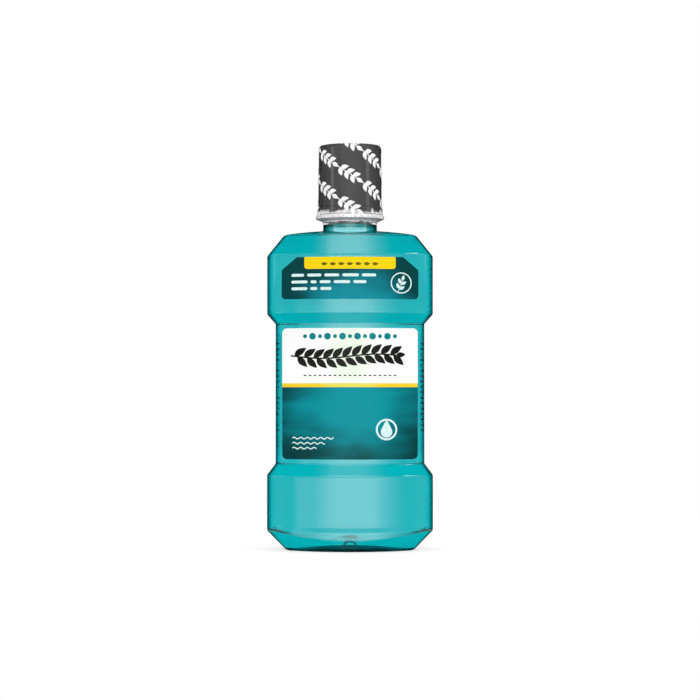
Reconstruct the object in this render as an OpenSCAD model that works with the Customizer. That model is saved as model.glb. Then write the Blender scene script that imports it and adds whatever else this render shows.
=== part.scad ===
// Flat-fronted mouthwash bottle with its contents, dosing cap, shrink film and labels.
// Origin at the middle of the base, +Z up, front label facing -Y, all sizes in millimetres.

/* [Body] */
// Width across the two wide bands
body_w = 87.8; // [82:0.2:96]
// Depth across the two wide bands
body_d = 60.1; // [55:0.1:66]
// Radius of the front and back faces of the wide bands
face_r = 80; // [72:1:110]
// Radius of the two end faces of the wide bands
end_r = 60; // [50:1:90]
// Radius of the upright corners
corner_r = 5; // [4:0.25:7]
// Thickness of the blown wall
wall_t = 0.7; // [0.5:0.05:1]

/* [Base] */
// Height of the sloped skirt above the foot
base_slope_h = 10.1; // [9:0.1:14]
// How far the skirt's upper edge dips in the middle of the front and back
skirt_dip = 4.2; // [0:0.1:5]
// How far the foot is drawn in from the lower band at each end
base_inset = 8.8; // [7:0.1:11]
// How far the foot is drawn in at the front and back
base_inset_d = 4.7; // [3.5:0.1:9]
// Radius of the foot's front and back
base_face_r = 53; // [48:0.5:75]
// Rounding where the sloped skirt meets the foot
foot_round = 1.5; // [0.8:0.1:2]
// Width of the flat standing ring
foot_w = 2.2; // [1.6:0.1:3]
// Rise of the underside within the standing ring
push_up_h = 4.9; // [3:0.1:6]
// Radius of the boss in the middle of the underside
boss_r = 5.2; // [4:0.1:6.5]
// Further rise of that boss
boss_h = 1.8; // [1:0.1:4]
// Thickness of the floor
floor_t = 1.1; // [0.8:0.05:1.5]
// Depth of the step above the skirt in the middle of the front and back
foot_step = 0.9; // [0:0.1:1.5]
// Height of that step's slope
foot_step_h = 2.2; // [1:0.1:4]
// Height of that step's upper edge above the skirt's upper edge at the ends
foot_step_up = 2.8; // [2.7:0.1:6]

/* [Bands] */
// Height of the lower wide band
lower_band_h = 29.2; // [24:0.2:36]
// Height of the slope from the lower band in to the label panel
lower_slope_h = 6; // [4:0.1:9]
// Height of the recessed label panel
panel_h = 73.6; // [72:0.2:86]
// How far the label panel lies below the bands
panel_inset = 4.5; // [3:0.1:6]
// Height of the slope from the label panel out to the upper band
upper_slope_h = 5.2; // [4:0.1:8]
// Height of the upper wide band
upper_band_h = 30.7; // [30:0.1:38]
// Height of the slope above the upper band
top_slope_h = 10.7; // [8:0.1:14]
// How far the shoulder's edge is drawn in from the upper band at each end
top_inset = 8.6; // [6:0.1:11]
// How far the shoulder's edge is drawn in at the front and back
top_inset_d = 5.6; // [4:0.1:9]
// Rise of the shoulder from its edge to the neck at each end
shoulder_h = 2.8; // [2.4:0.1:5]
// Rise of the shoulder from its edge to the neck at the front and back
shoulder_h_d = 0.8; // [0.4:0.1:3]

/* [Neck] */
// Outer radius of the plain neck
neck_r = 14.25; // [14.1:0.05:14.8]
// Wall of the plain neck
neck_t = 1.8; // [1.5:0.05:2.2]
// Height of the plain neck under the support ring
neck_h = 5.1; // [4.4:0.1:9]
// Radius of the support ring
ring_r = 17.9; // [17:0.1:18.6]
// Height of the slope under the support ring
ring_slope_h = 1.3; // [0.8:0.1:2]
// Thickness of the support ring at its edge
ring_t = 1.5; // [1:0.1:2.2]
// Height of the threaded finish above the support ring
finish_h = 12.8; // [12:0.1:15]
// Radius of the finish between its threads
finish_r = 12.6; // [12.3:0.05:12.8]
// Radius of the bore through the finish
bore_r = 10.9; // [10.4:0.05:11]
// Length of the straight bore below the rim
bore_h = 12.5; // [11:0.1:13]
// Height of the cone that opens the bore out into the neck
bore_cone_h = 2.7; // [1.5:0.1:3]
// Chamfer round the rim
rim_chamfer = 0.4; // [0.2:0.05:0.6]

/* [Thread] */
// Rise of the cap in one turn
thread_lead = 6.35; // [5.6:0.05:7]
// Number of thread starts
thread_starts = 2; // [1:1:2]
// Share of a turn that each ridge covers
thread_turn = 0.83; // [0.5:0.01:0.9]
// Height of the neck's ridges
ridge_h = 1.2; // [0.9:0.05:1.3]
// Width of a ridge at its root
ridge_w = 2; // [1.6:0.05:2.2]
// Width of a ridge at its crest
crest_w = 0.8; // [0.5:0.05:1]
// Distance from the rim down to the upper end of a neck ridge
thread_top = 2.8; // [2.4:0.1:3.4]
// Radial clearance between the cap's thread and the neck's
thread_fit = 0.2; // [0.15:0.01:0.3]
// Axial clearance between the flanks that bear on each other
thread_play = 0.15; // [0.1:0.01:0.3]

/* [Contents] */
// Depth of the liquid's surface below the rim
fill_drop = 17.5; // [15.6:0.1:18]
// Space left between the liquid and the wall
fill_gap = 0.1; // [0.05:0.01:0.2]

/* [Cap] */
// Height of the cap
cap_h = 37; // [30:0.5:46]
// Gap between the cap's lower edge and the support ring
cap_lift = 0.4; // [0.3:0.05:1]
// Radius of the plain band round the cap's lower edge
cap_band_r = 17.2; // [16.9:0.05:17.6]
// Height of that plain band
cap_band_h = 3.9; // [2.5:0.1:6]
// Step from the plain band in to the cap's side
cap_step = 0.35; // [0.1:0.05:0.5]
// Radius of the cap at its top
cap_top_r = 16.5; // [16:0.05:16.8]
// Rounding of the cap's top edge
cap_round = 1.8; // [1:0.1:2.6]
// Thickness of the cap's side round the insert
cap_t = 0.85; // [0.7:0.05:0.9]
// Thickness of the cap's top
cap_top_t = 1.2; // [0.9:0.1:2]
// Width of the ledge inside the cap that holds the insert down
ledge_w = 0.5; // [0.3:0.05:0.8]

/* [Insert] */
// Thickness of the insert's sealing plate
plate_t = 1.35; // [1:0.05:1.8]
// Thickness of the insert's threaded skirt
insert_t = 1.05; // [0.85:0.05:1.1]
// Length of the plug that reaches into the bore
plug_h = 1.7; // [1:0.1:2.2]
// Thickness of the plug
plug_t = 0.75; // [0.5:0.05:1]
// Clearance between the plug and the bore
plug_fit = 0.12; // [0.08:0.01:0.2]
// Clearance between the sealing plate and the rim
seat_fit = 0.05; // [0.03:0.01:0.1]
// Clearance between the insert and the cap
insert_fit = 0.05; // [0.03:0.01:0.1]

/* [Film] */
// Thickness of the shrink film
film_t = 0.15; // [0.1:0.01:0.2]
// Space between the film and what it wraps
film_gap = 0.05; // [0.03:0.01:0.1]
// How far the film runs in over the cap's top
film_lap = 2.6; // [1:0.1:6]
// Width of the tear line between the cap's film and the neck's
tear_w = 0.2; // [0.1:0.05:0.4]
// Height of the neck's film that clings below the support ring
film_skirt_h = 0.8; // [0.5:0.1:2]

/* [Labels] */
// Thickness of a label
label_t = 0.12; // [0.08:0.01:0.2]
// Space between a label and the wall
label_gap = 0.05; // [0.03:0.01:0.1]
// Width of the front label
front_label_w = 70.8; // [50:0.2:72]
// Height of the front label
front_label_h = 68.3; // [50:0.1:69]
// Rounding of the front label's corners
front_label_r = 2.5; // [1:0.1:5]
// Width of the back label
back_label_w = 66; // [50:0.2:72]
// Height of the back label
back_label_h = 64; // [50:0.1:69]
// Rounding of the back label's corners
back_label_r = 2.5; // [1:0.1:5]
// Width of the shoulder label
shoulder_label_w = 71.2; // [50:0.2:74]
// Height of the shoulder label
shoulder_label_h = 21.8; // [16:0.1:26]
// Distance from the shoulder label up to the upper band's upper edge
shoulder_label_drop = 1.8; // [1.2:0.1:7]
// Width of the cuts across the shoulder label's upper corners
label_cut_w = 7.9; // [3:0.1:12]
// Height of those cuts
label_cut_h = 6.6; // [3:0.1:10]
// Rounding of the shoulder label's lower corners
shoulder_label_r = 2.1; // [1:0.1:4]

/* [Hidden] */

// Heights of the body's edges, from the base up
skirt_z = base_slope_h;
foot_step_z = skirt_z + foot_step_up;
lower_band_z = skirt_z + lower_band_h;
panel_low_z = lower_band_z + lower_slope_h;
panel_high_z = panel_low_z + panel_h;
upper_band_z = panel_high_z + upper_slope_h;
top_low_z = upper_band_z + upper_band_h;
top_high_z = top_low_z + top_slope_h;
neck_z = top_high_z + shoulder_h;
ring_slope_z = neck_z + neck_h;
ring_low_z = ring_slope_z + ring_slope_h;
ring_z = ring_low_z + ring_t;
rim_z = ring_z + finish_h;
fill_z = rim_z - fill_drop;

// Angles at which each plan outline is sampled, as directions of its outward normal
end_steps = 2;
corner_steps = 6;
face_steps = 7;
body_plan = plan(0);
quarter = concat(
  [for (i = [0:end_steps - 1]) body_plan[4] * i / end_steps],
  [for (i = [0:corner_steps - 1])
    body_plan[4] + (body_plan[5] - body_plan[4]) * i / corner_steps],
  [for (i = [0:face_steps - 1]) body_plan[5] + (90 - body_plan[5]) * i / face_steps]);
quarter_n = len(quarter);
normals = concat(
  quarter,
  [90],
  [for (i = [1:quarter_n - 1]) 180 - quarter[quarter_n - i]],
  [180],
  [for (i = [1:quarter_n - 1]) 180 + quarter[i]],
  [270],
  [for (i = [1:quarter_n - 1]) 360 - quarter[quarter_n - i]]);

// How far round shapes reach into their neighbours so that the union is clean
bite = 0.35;
// How far the skin's walls stay within the neck's where the two overlap
neck_clear = 0.05;
neck_bore_r = neck_r - neck_t;
round_fn = 96;
arc_steps = 8;

// A plan outline drawn in by inset: an end arc, a corner arc and a face arc in each quarter.
// The inset is one number, or the inset of the ends, that of the faces and the faces' radius.
// Holds the end and face centres, their radii, the corner centre and the two junction normals.
function plan(inset) =
  let (own = is_list(inset) ? inset : [inset, inset, face_r - inset],
       rounding = max(corner_r - own[0] / 4, corner_r / 2),
       end_rr = end_r - own[0],
       face_rr = own[2],
       end_c = [body_w / 2 - own[0] - end_rr, 0],
       face_c = [0, body_d / 2 - own[1] - face_rr],
       from_end = end_rr - rounding,
       from_face = face_rr - rounding,
       apart = norm(face_c - end_c),
       along = (from_end * from_end - from_face * from_face + apart * apart) / (2 * apart),
       aside = sqrt(from_end * from_end - along * along),
       dir = (face_c - end_c) / apart,
       corner_c = end_c + along * dir + aside * [-dir[1], dir[0]],
       end_n = atan2(corner_c[1], corner_c[0] - end_c[0]),
       face_n = atan2(corner_c[1] - face_c[1], corner_c[0]))
  [end_c, face_c, [end_rr, rounding, face_rr], corner_c, end_n, face_n];

// The point of a plan outline whose outward normal points at angle a
function plan_point(p, a) =
  let (c = cos(a),
       s = sin(a),
       q = atan2(abs(s), abs(c)),
       n = [abs(c), abs(s)],
       at = q < p[4] ? p[0] + p[2][0] * n
          : q < p[5] ? p[3] + p[2][1] * n
          : p[1] + p[2][2] * n)
  [at[0] * (c < 0 ? -1 : 1), at[1] * (s < 0 ? -1 : 1)];

// One ring of points: the plan drawn in by inset, shrunk, and blended towards a circle.
// The height is one number or a list with one for each normal.
function ring(z, inset, shrink = 1, blend = 0, r = 0) =
  let (p = plan(inset))
  [for (i = [0:len(normals) - 1])
    let (a = normals[i],
         at = plan_point(p, a) * shrink * (1 - blend) + [cos(a), sin(a)] * r * blend)
    [at[0], at[1], is_list(z) ? z[i] : z]];

// One in the middle of a front or back face, falling to nothing where its corners begin
function mid_face(a) =
  let (x = plan_point(body_plan, a)[0] / (body_plan[2][2] * cos(body_plan[5])))
  max(0, 1 - x * x);

// Heights of the skirt's upper edge, moved up by up
function skirt_edge(up) = [for (a = normals) skirt_z + up - skirt_dip * mid_face(a)];

// A ring moved in by the step above the skirt
function stepped(row) =
  [for (i = [0:len(normals) - 1])
    row[i] - [0, sign(row[i][1]) * foot_step * mid_face(normals[i]), 0]];

// Heights of the shoulder where it has reached a share of its rise, moved up by up
function shoulder_line(share, up) =
  [for (a = normals)
    top_high_z + up + share * (shoulder_h_d + (shoulder_h - shoulder_h_d) * pow(cos(a), 2))];

// A closed skin over rings that all have as many points, with flat faces at both ends
module skin(rings) {
  n = len(rings[0]);
  last = len(rings) - 1;
  points = [for (row = rings) each row];
  low_cap = [[for (i = [0:n - 1]) i]];
  high_cap = [[for (i = [0:n - 1]) last * n + n - 1 - i]];
  sides = [for (k = [0:last - 1]) for (i = [0:n - 1])
    let (j = (i + 1) % n, a = k * n)
    each [[a + i, a + n + j, a + j], [a + i, a + n + i, a + n + j]]];
  polyhedron(points, concat(low_cap, sides, high_cap), convexity = 8);
}

// Rings of the body's outline from the middle of the underside up to the neck. The same rule
// gives the outside, the inside (drawn in by the wall) and the liquid (by the wall and a gap).
function body_rings(wall, floor_up) =
  let (mitre = wall * tan(22.5),
       all_round = [1, 1, -1],
       base_in = [base_inset, base_inset_d, base_face_r],
       foot_in = base_in + (foot_round + foot_w) * all_round,
       top_in = [top_inset, top_inset_d, face_r - top_inset_d],
       shoulder_in = top_in + wall / 2 * all_round,
       push_z = push_up_h + floor_up,
       neck_in = wall > 0 ? neck_bore_r + neck_clear + wall_t - wall : neck_r - neck_clear)
  [ring(push_z + boss_h, 0, 1, 1, boss_r * 0.35),
   ring(push_z + boss_h * 0.75, 0, 1, 1, boss_r * 0.75),
   ring(push_z, 0, 1, 1, boss_r + wall * 0.6),
   ring(push_up_h * 0.94 + floor_up, foot_in + wall * all_round, 0.34, 0.2, boss_r * 2),
   ring(push_up_h * 0.72 + floor_up, foot_in + wall * all_round, 0.62),
   ring(push_up_h * 0.36 + floor_up, foot_in + wall * all_round, 0.86),
   ring(push_up_h * 0.12 + floor_up, foot_in + wall * all_round, 0.96),
   ring(floor_up, foot_in),
   ring(floor_up, base_in + foot_round * all_round),
   ring(foot_round * 0.2 + floor_up, base_in + (foot_round * 0.45 + wall * 0.4) * all_round),
   ring(foot_round * 0.75 + floor_up * 0.7, base_in + wall * all_round),
   stepped(ring(skirt_edge(mitre), wall)),
   stepped(ring(foot_step_z - foot_step_h, wall)),
   ring(foot_step_z, wall),
   ring(lower_band_z - mitre, wall),
   ring(panel_low_z - mitre, panel_inset + wall),
   ring(panel_high_z + mitre, panel_inset + wall),
   ring(upper_band_z + mitre, wall),
   ring(top_low_z - mitre, wall),
   ring(top_high_z - wall * 0.8, top_in + wall * 0.6 * all_round),
   ring(shoulder_line(0.43, -wall), shoulder_in, 1, 0.32, neck_in),
   ring(shoulder_line(0.65, -wall), shoulder_in, 1, 0.6, neck_in),
   ring(shoulder_line(0.82, -wall), shoulder_in, 1, 0.85, neck_in),
   ring(shoulder_line(1, -wall), 0, 1, 1, neck_in),
   ring(neck_z + bite / 2, 0, 1, 1, neck_in)];

// A ridge that winds up round the Z axis, fading into the wall at both ends
module ridge(root_r, crest_r, root_w, tip_w, low_z) {
  steps = round(36 * thread_turn);
  fade_steps = 3;
  rings = [for (i = [0:steps])
    let (a = 360 * thread_turn * i / steps,
         z = low_z + thread_lead * thread_turn * i / steps,
         fade = min(1, (i + 0.3) / fade_steps, (steps - i + 0.3) / fade_steps),
         tip_r = root_r + (crest_r - root_r) * fade,
         section = [[root_r, -root_w / 2], [tip_r, -tip_w / 2],
                    [tip_r, tip_w / 2], [root_r, root_w / 2]])
    [for (s = section) [s[0] * cos(a), s[0] * sin(a), z + s[1]]]];
  if (crest_r > root_r) skin([for (i = [0:steps]) rings[steps - i]]);
  else skin(rings);
}

// Ridges for every start, evenly spaced round the axis
module thread(root_r, crest_r, root_w, tip_w, low_z) {
  for (i = [0:thread_starts - 1])
    rotate(360 * i / thread_starts) ridge(root_r, crest_r, root_w, tip_w, low_z);
}

// The neck above the shoulder, with its support ring, finish and bore
module neck_finish() {
  low_z = neck_z - bite;
  rotate_extrude($fn = round_fn)
    polygon([[neck_bore_r, low_z], [neck_r, low_z], [neck_r, ring_slope_z],
             [ring_r, ring_low_z], [ring_r, ring_z], [finish_r, ring_z],
             [finish_r, rim_z - rim_chamfer], [finish_r - rim_chamfer, rim_z],
             [bore_r, rim_z], [bore_r, rim_z - bore_h],
             [neck_bore_r, rim_z - bore_h - bore_cone_h]]);
}

// Width of a ridge where it meets a wall, widened by the depth it is sunk into that wall
function sunk_w(depth) = ridge_w + depth * (ridge_w - crest_w) / ridge_h;
ridge_sink = 0.6;
neck_thread_z = rim_z - thread_top - thread_lead * thread_turn;

module bottle() {
  color([0.35, 0.78, 0.8]) union() {
    outer = body_rings(0, 0);
    inner = body_rings(wall_t, floor_t);
    stub_z = neck_z + bite;
    skin(concat(
      outer,
      [ring(stub_z, 0, 1, 1, neck_r - bite), ring(stub_z, 0, 1, 1, neck_bore_r + bite)],
      [for (i = [1:len(inner)]) inner[len(inner) - i]]));
    neck_finish();
    thread(finish_r - ridge_sink, finish_r + ridge_h, sunk_w(ridge_sink), crest_w,
           neck_thread_z);
  }
}

module mouthwash() {
  color([0.0, 0.6, 0.62])
    skin(concat(
      body_rings(wall_t + fill_gap, floor_t + fill_gap),
      [ring(fill_z, 0, 1, 1, neck_bore_r - fill_gap)]));
}

// The cap's side seen in section, from its lower edge up
cap_z = ring_z + cap_lift;
cap_top_z = cap_z + cap_h;
cap_side_r = cap_band_r - cap_step;
cap_band_z = cap_z + cap_band_h;

// The cap's outline moved out by away, from height low_z to the middle of its top
function cap_outline(away, low_z, top_r) =
  let (c = [cap_top_r - cap_round, cap_top_z - cap_round],
       r = cap_round + away)
  concat(
    [[cap_band_r + away, low_z],
     [cap_band_r + away, cap_band_z],
     [cap_side_r + away, cap_band_z + cap_step + away]],
    [for (i = [0:arc_steps]) c + r * [cos(90 * i / arc_steps), sin(90 * i / arc_steps)]],
    [[top_r, cap_top_z + away]]);

// The insert's plate lies on the rim and its edge meets the ledge inside the cap
plate_z = rim_z + seat_fit;
ledge_z = plate_z + plate_t + insert_fit;
cap_bore_r = cap_top_r - cap_t;
ledge_r = cap_bore_r - ledge_w;

module cap_shell() {
  color([0.22, 0.22, 0.23])
    rotate_extrude($fn = round_fn)
      polygon(concat(
        cap_outline(0, cap_z, 0),
        [[0, cap_top_z - cap_top_t],
         [ledge_r - cap_round / 2, cap_top_z - cap_top_t],
         [ledge_r, cap_top_z - cap_top_t - cap_round / 2],
         [ledge_r, ledge_z],
         [cap_bore_r, ledge_z],
         [cap_bore_r, cap_z]]));
}

module thread_insert() {
  skirt_r = finish_r + ridge_h + thread_fit;
  skirt_low_z = ring_z + cap_lift * 2;
  plug_r = bore_r - plug_fit;
  cap_crest_r = finish_r + thread_fit;
  flank = (ridge_w - crest_w) / ridge_h;
  cap_tip_w = ridge_w - flank * (skirt_r - cap_crest_r);
  overlap_w = ridge_w - flank * (ridge_h + thread_fit) / 2;
  color([0.85, 0.86, 0.86]) union() {
    rotate_extrude($fn = round_fn)
      polygon([[skirt_r, skirt_low_z], [skirt_r + insert_t, skirt_low_z],
               [skirt_r + insert_t, plate_z], [cap_bore_r - insert_fit, plate_z],
               [cap_bore_r - insert_fit, plate_z + plate_t],
               [plug_r - plug_t, plate_z + plate_t],
               [plug_r - plug_t, plate_z - plug_h], [plug_r, plate_z - plug_h],
               [plug_r, plate_z], [skirt_r, plate_z]]);
    thread(skirt_r + ridge_sink, cap_crest_r, sunk_w(ridge_sink), cap_tip_w,
           neck_thread_z - overlap_w - thread_play);
  }
}

// The printed clear film shrunk over the cap
tear_z = cap_z + tear_w;
module cap_sleeve() {
  lap_r = cap_top_r - cap_round - film_lap;
  outer = cap_outline(film_gap + film_t, tear_z, lap_r);
  inner = cap_outline(film_gap, tear_z, lap_r);
  color([0.75, 0.76, 0.78, 0.6])
    rotate_extrude($fn = round_fn)
      polygon(concat(outer, [for (i = [1:len(inner)]) inner[len(inner) - i]]));
}

// The film's lower end, left round the support ring once it is torn
module neck_band() {
  in_n = neck_r + film_gap;
  in_r = ring_r + film_gap;
  low_z = ring_slope_z - film_skirt_h;
  out_top_z = ring_z + film_gap;
  color([0.85, 0.86, 0.88, 0.6])
    rotate_extrude($fn = round_fn)
      polygon([[in_n, low_z], [in_n + film_t, low_z],
               [in_n + film_t, ring_slope_z - film_gap - film_t],
               [in_r + film_t, ring_low_z - film_gap - film_t],
               [in_r + film_t, out_top_z],
               [cap_band_r + film_gap + film_t, cap_z],
               [cap_band_r + film_gap, cap_z],
               [in_r, out_top_z - film_t / 2],
               [in_r, ring_low_z - film_gap],
               [in_n, ring_slope_z - film_gap]]);
}

// A rectangle in the X-Z plane with rounded corners, its lower left corner at [-w/2, low_z]
module rounded_panel(w, h, r, low_z) {
  translate([-w / 2 + r, low_z]) square([w - 2 * r, h]);
  translate([-w / 2, low_z + r]) square([w, h - 2 * r]);
  for (x = [-1, 1], y = [r, h - r])
    translate([x * (w / 2 - r), low_z + y]) circle(r, $fn = round_fn);
}

// The shoulder label: rounded below, with its upper corners cut off
module cut_panel(w, h, r, low_z) {
  translate([-w / 2 + r, low_z]) square([w - 2 * r, r]);
  for (x = [-1, 1])
    translate([x * (w / 2 - r), low_z + r]) circle(r, $fn = round_fn);
  polygon([[-w / 2, low_z + r], [w / 2, low_z + r],
           [w / 2, low_z + h - label_cut_h], [w / 2 - label_cut_w, low_z + h],
           [-w / 2 + label_cut_w, low_z + h], [-w / 2, low_z + h - label_cut_h]]);
}

// A thin layer that follows the front wall drawn in by inset, cut to the outline given as a child
module wrap(inset, low_z, h) {
  front = [for (a = normals) if (a > 180 && a < 360) a];
  near = plan(inset - label_gap);
  far = plan(inset - label_gap - label_t);
  intersection() {
    translate([0, 0, low_z]) linear_extrude(height = h)
      polygon(concat(
        [for (a = front) plan_point(far, a)],
        [for (i = [1:len(front)]) plan_point(near, front[len(front) - i])]));
    rotate([90, 0, 0]) linear_extrude(height = body_d) children();
  }
}

module front_label() {
  low_z = panel_low_z + (panel_h - front_label_h) / 2;
  color([0.93, 0.96, 0.94])
    wrap(panel_inset, low_z, front_label_h)
      rounded_panel(front_label_w, front_label_h, front_label_r, low_z);
}

module back_label() {
  low_z = panel_low_z + (panel_h - back_label_h) / 2;
  color([0.9, 0.93, 0.93])
    mirror([0, 1, 0])
      wrap(panel_inset, low_z, back_label_h)
        rounded_panel(back_label_w, back_label_h, back_label_r, low_z);
}

module shoulder_label() {
  low_z = top_low_z - shoulder_label_drop - shoulder_label_h;
  color([0.0, 0.36, 0.38])
    wrap(0, low_z, shoulder_label_h)
      cut_panel(shoulder_label_w, shoulder_label_h, shoulder_label_r, low_z);
}

bottle();
mouthwash();
cap_shell();
thread_insert();
cap_sleeve();
neck_band();
front_label();
shoulder_label();
back_label();
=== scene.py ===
"""Studio scene of a flat-fronted mouthwash bottle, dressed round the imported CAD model.

Lengths in this file are millimetres, and to_mesh turns them into the frame's metres. Only those
of the lamps are metres.
"""

import math
import random

import bmesh
import bpy
from mathutils import Matrix, Vector


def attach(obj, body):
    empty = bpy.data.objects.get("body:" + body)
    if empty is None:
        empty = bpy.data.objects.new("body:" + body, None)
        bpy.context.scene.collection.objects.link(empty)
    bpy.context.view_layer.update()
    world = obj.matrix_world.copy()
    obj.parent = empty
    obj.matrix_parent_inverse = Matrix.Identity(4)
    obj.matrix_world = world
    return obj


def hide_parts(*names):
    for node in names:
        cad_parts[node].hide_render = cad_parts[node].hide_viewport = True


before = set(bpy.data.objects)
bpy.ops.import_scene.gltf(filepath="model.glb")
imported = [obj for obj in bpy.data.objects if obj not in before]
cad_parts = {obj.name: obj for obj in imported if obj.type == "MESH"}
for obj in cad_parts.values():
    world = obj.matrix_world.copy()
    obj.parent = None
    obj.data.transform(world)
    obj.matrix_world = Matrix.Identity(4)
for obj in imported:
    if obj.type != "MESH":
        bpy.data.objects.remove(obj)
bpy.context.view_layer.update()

MM = 0.001

# Body, as in the CAD source
BODY_W, BODY_D = 87.8, 60.1
FACE_R, END_R, CORNER_R = 80.0, 60.0, 5.0
WALL_T, FLOOR_T = 0.7, 1.1
BASE_CORNER_INSET, FOOT_IN = 9.9, 12.5
BASE_INSET, BASE_INSET_D, BASE_FACE_R = 8.8, 4.7, 53.0
PUSH_UP_H, PUSH_UP_STEPS, PUSH_UP_CURVE = 4.9, 14, 2.4
BOSS_R, BOSS_H = 5.2, 1.8
# Share of the boss's radius and of its height at each of its rings
BOSS_PROFILE = ((0.25, 0.99), (0.45, 0.93), (0.6, 0.8), (0.72, 0.6), (0.84, 0.35), (0.95, 0.12),
                (1.1, 0.02))
PANEL_INSET, TOP_INSET, TOP_INSET_D = 4.5, 8.6, 5.6
SKIRT_Z, SKIRT_DIP, LOWER_BAND_Z = 10.1, 4.2, 39.3
STEP_Z, STEP_H, STEP_IN = 12.5, 2.3, 0.9
PANEL_LOW_Z, PANEL_HIGH_Z = 45.3, 118.9
UPPER_BAND_Z, TOP_LOW_Z, TOP_HIGH_Z = 124.1, 154.8, 165.5
SHOULDER_H, SHOULDER_H_D = 2.8, 0.8
EDGE_R, FOOT_EDGE_R = 1.7, 2.4
PANEL_EDGE_R = EDGE_R * 0.7

# Neck and finish
NECK_Z, RING_SLOPE_Z, RING_LOW_Z, RING_Z, RIM_Z = 168.3, 173.4, 174.7, 176.2, 189.0
NECK_R, NECK_BORE_R = 14.25, 12.45
RING_R, FINISH_R, BORE_R = 17.9, 12.6, 10.9
BORE_H, BORE_CONE_H, RIM_CHAMFER = 12.5, 2.7, 0.4
THREAD_LEAD, THREAD_STARTS, THREAD_TURN = 6.35, 2, 0.83
RIDGE_H, RIDGE_W, CREST_W, THREAD_TOP = 1.2, 2.0, 0.8, 2.8

# Contents
FILL_Z, FILL_SUNK = 171.5, 0.25

# Cap and film
CAP_Z, CAP_H = 176.6, 37.0
CAP_BAND_R, CAP_BAND_H, CAP_STEP = 17.2, 3.9, 0.35
CAP_TOP_R, CAP_ROUND, CAP_TOP_T, CAP_T = 16.5, 1.8, 1.2, 0.85
LEDGE_Z, LEDGE_W = 190.45, 0.5
FILM_T, FILM_GAP, FILM_LAP, TEAR_W, FILM_SKIRT_H = 0.12, 0.05, 2.6, 0.2, 0.8
PUCKER, PUCKER_H = 0.16, 7.0
SWELL, LIP_WAVE, LIP_H, BAND_TURN = 0.12, 0.5, 1.4, 0.7

# Labels
LABEL_T, LABEL_GAP, INK_T = 0.08, 0.05, 0.02
FRONT_LABEL = dict(w=70.8, z=47.95, h=68.3, r=2.5)
BACK_LABEL = dict(w=66.0, z=50.1, h=64.0, r=2.5)
SHOULDER_LABEL = dict(w=71.2, z=131.2, h=21.8, r=2.1, cut_w=7.9, cut_h=6.6)
STRIPE_Z, STRIPE_H = 85.5, 2.1
TAB = dict(w=47.4, z=146.8, h=6.2, r=1.5)
BUBBLE_Z, BRANCH_Z, STITCH_Z = 112.0, 101.6, 91.6
BADGE_X, BADGE_Z, WAVES_Z = 19.0, 63.5, 59.0
BACK_BADGE_X, BACK_BADGE_Z, BACK_LINES_Z = 20.0, 56.5, 109.0
MARK_X, MARK_Z, LEAVES_Z, LINES_Z = 26.6, 139.6, 149.4, 143.6

# Number of points round each arc of a quarter of the plan
END_STEPS, CORNER_STEPS, FACE_STEPS = 12, 18, 16
SMOOTH_STEP = 7.5
# Number of points round the cap and round its film
CAP_STEPS, FILM_STEPS = 160, 240


# Plan outline: an end arc, a corner arc and a face arc in each quarter

def plan(inset):
    """Arc centres, radii and junction normals of the outline drawn in by inset.

    The inset is one number, or the inset of the ends, that of the faces and the faces' radius.
    """
    end_in, face_in, face_r = inset if isinstance(inset, tuple) else (inset, inset, FACE_R - inset)
    rounding = max(CORNER_R - end_in / 4, CORNER_R / 2)
    end_r = END_R - end_in
    end_c = Vector((BODY_W / 2 - end_in - end_r, 0))
    face_c = Vector((0, BODY_D / 2 - face_in - face_r))
    from_end, from_face = end_r - rounding, face_r - rounding
    apart = (face_c - end_c).length
    along = (from_end ** 2 - from_face ** 2 + apart ** 2) / (2 * apart)
    aside = math.sqrt(from_end ** 2 - along ** 2)
    way = (face_c - end_c) / apart
    corner_c = end_c + along * way + aside * Vector((-way.y, way.x))
    end_n = math.atan2(corner_c.y, corner_c.x - end_c.x)
    face_n = math.atan2(corner_c.y - face_c.y, corner_c.x)
    return [(end_c, end_r), (corner_c, rounding), (face_c, face_r)], end_n, face_n


def plan_point(outline, angle):
    """The point of the outline whose outward normal points at angle."""
    arcs, end_n, face_n = outline
    c, s = math.cos(angle), math.sin(angle)
    q = math.atan2(abs(s), abs(c))
    centre, r = arcs[0] if q < end_n else arcs[1] if q < face_n else arcs[2]
    x, y = centre.x + r * abs(c), centre.y + r * abs(s)
    return (math.copysign(x, c), math.copysign(y, s))


def plan_normals():
    """Directions of the outward normal at which every ring of the body has a point."""
    end_n, face_n = plan(0)[1:]
    quarter = [end_n * i / END_STEPS for i in range(END_STEPS)]
    quarter += [end_n + (face_n - end_n) * i / CORNER_STEPS for i in range(CORNER_STEPS)]
    quarter += [face_n + (math.pi / 2 - face_n) * i / FACE_STEPS for i in range(FACE_STEPS)]
    half = quarter + [math.pi / 2] + [math.pi - a for a in reversed(quarter[1:])]
    return half + [math.pi + a for a in half]


NORMALS = plan_normals()


def wall_y(inset, x):
    """How far the front face of the outline drawn in by inset stands out at x."""
    face_c, face_r = plan(inset)[0][2]
    return -(face_c.y + math.sqrt(face_r ** 2 - x ** 2))


# Rings and profiles

def circle(z, r):
    return [(r * math.cos(a), r * math.sin(a), z) for a in NORMALS]


def ring(z, inset, shrink=1.0, blend=0.0, r=0.0, lift=None):
    """The plan at height z, shrunk, and blended towards a circle of radius r.

    Where the height isn't the same all round, lift gives what each normal angle adds to it.
    """
    outline = plan(inset)
    keep = shrink * (1 - blend)
    points = []
    for a in NORMALS:
        x, y = plan_point(outline, a)
        points.append((x * keep + r * blend * math.cos(a), y * keep + r * blend * math.sin(a),
                       z + (lift(a) if lift else 0.0)))
    return points


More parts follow.
